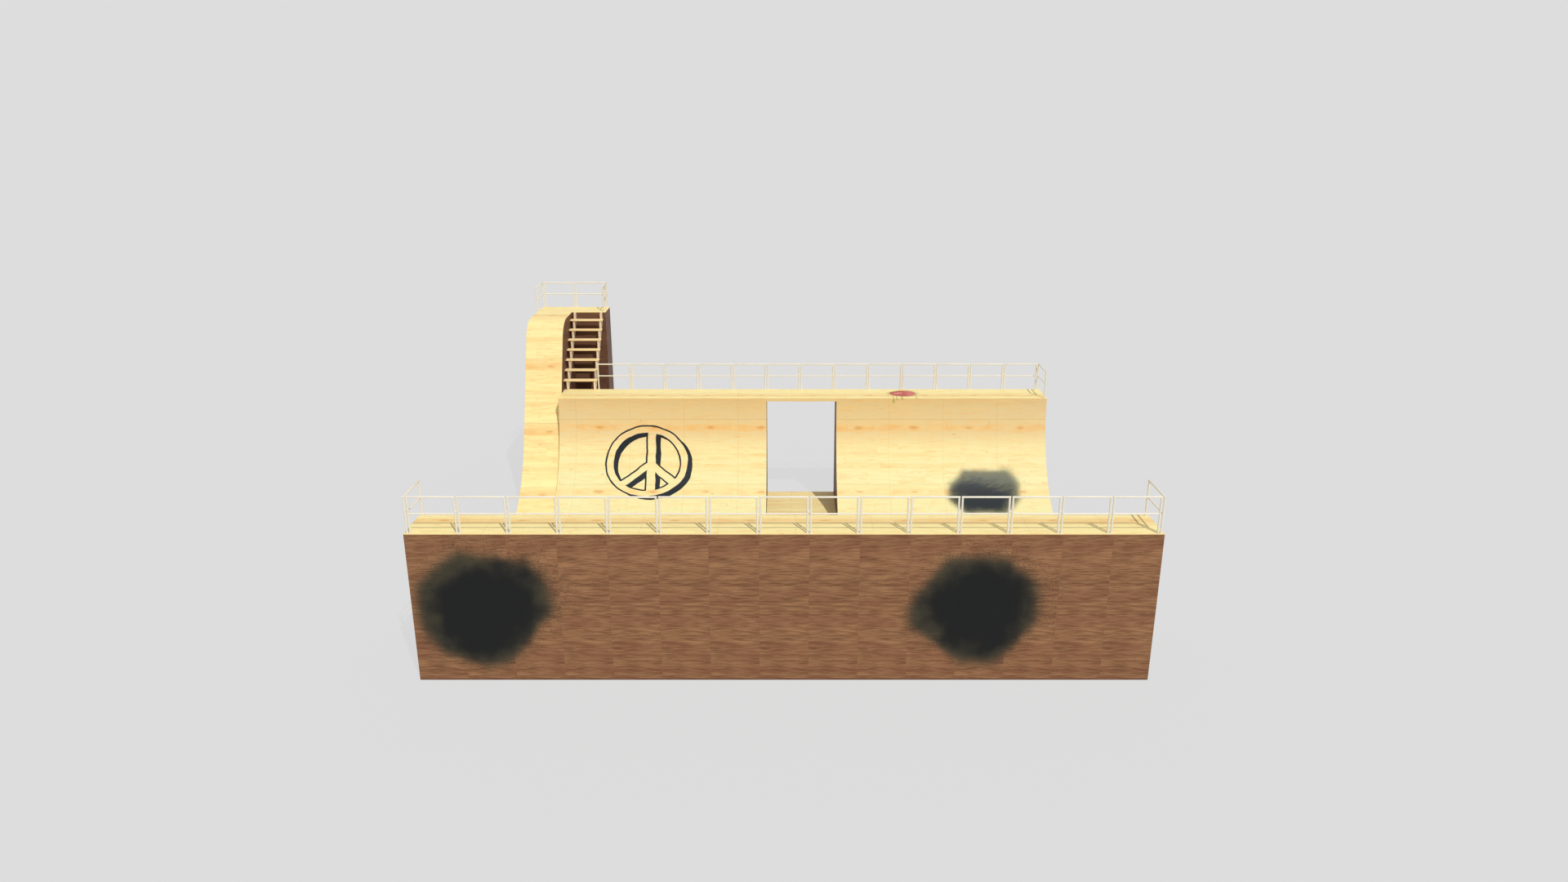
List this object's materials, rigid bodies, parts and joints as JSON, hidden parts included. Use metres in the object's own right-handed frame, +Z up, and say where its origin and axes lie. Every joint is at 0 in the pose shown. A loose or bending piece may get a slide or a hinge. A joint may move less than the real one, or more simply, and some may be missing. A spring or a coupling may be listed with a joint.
{
  "type": "skate ramp",
  "caption": "Closed-in wooden vert ramp: two facing quarters with decks, a doorway through one, a roll-in tower with stairs, and tube guard rails",
  "frame": {"origin": "on the ground, in the middle of the ramp's length and of its depth, under its bounding box", "axes": "+X along the lips, to the right as seen from the front; +Y from the front quarter to the rear quarter and the tower; +Z up"},
  "size_m": [21, 18.8, 8.3903],
  "materials": {
    "plywood": "pale sealed plywood, matt",
    "framing": "sawn softwood",
    "cladding": "brown-stained boards, satin",
    "stringer": "planed and oiled timber",
    "rail": "cream powder coat on steel tube"
  },
  "bodies": {
    "root": {"flat_bottom": "plywood", "door_floor": "plywood", "front_left_side": "cladding", "front_right_side": "cladding", "front_rib_1": "framing", "front_rib_2": "framing", "front_rib_3": "framing", "front_rib_4": "framing", "front_skin": "plywood", "front_deck": "plywood", "front_wall": "cladding", "rear_left_side": "plywood", "rear_right_side": "cladding", "door_left_jamb": "cladding", "door_right_jamb": "cladding", "rear_left_rib_1": "framing", "rear_left_rib_2": "framing", "rear_right_rib_1": "framing", "rear_right_rib_2": "framing", "rear_left_skin": "plywood", "rear_right_skin": "plywood", "rear_deck": "plywood", "rear_left_wall": "cladding", "rear_right_wall": "cladding", "door_header": "plywood", "roll_in_skin": "plywood", "roll_in_left_side": "cladding", "roll_in_right_side": "cladding", "roll_in_rib": "framing", "tower_platform": "plywood", "tower_front_wall": "cladding", "tower_right_side": "cladding", "tower_back_wall": "cladding", "tower_frame": "framing", "stair_left_stringer": "stringer", "stair_right_stringer": "stringer", "stair_tread_1": "plywood", "stair_tread_2": "plywood", "stair_tread_3": "plywood", "stair_tread_4": "plywood", "stair_tread_5": "plywood", "stair_tread_6": "plywood", "stair_tread_7": "plywood", "front_rail_left": "rail", "front_rail_middle": "rail", "front_rail_right": "rail", "front_rail_left_end": "rail", "front_rail_right_end": "rail", "rear_rail_left": "rail", "rear_rail_middle": "rail", "rear_rail_right": "rail", "rear_rail_right_end": "rail", "tower_rail_back": "rail", "tower_rail_left": "rail", "tower_rail_right": "rail"}
  },
  "joints": []
}
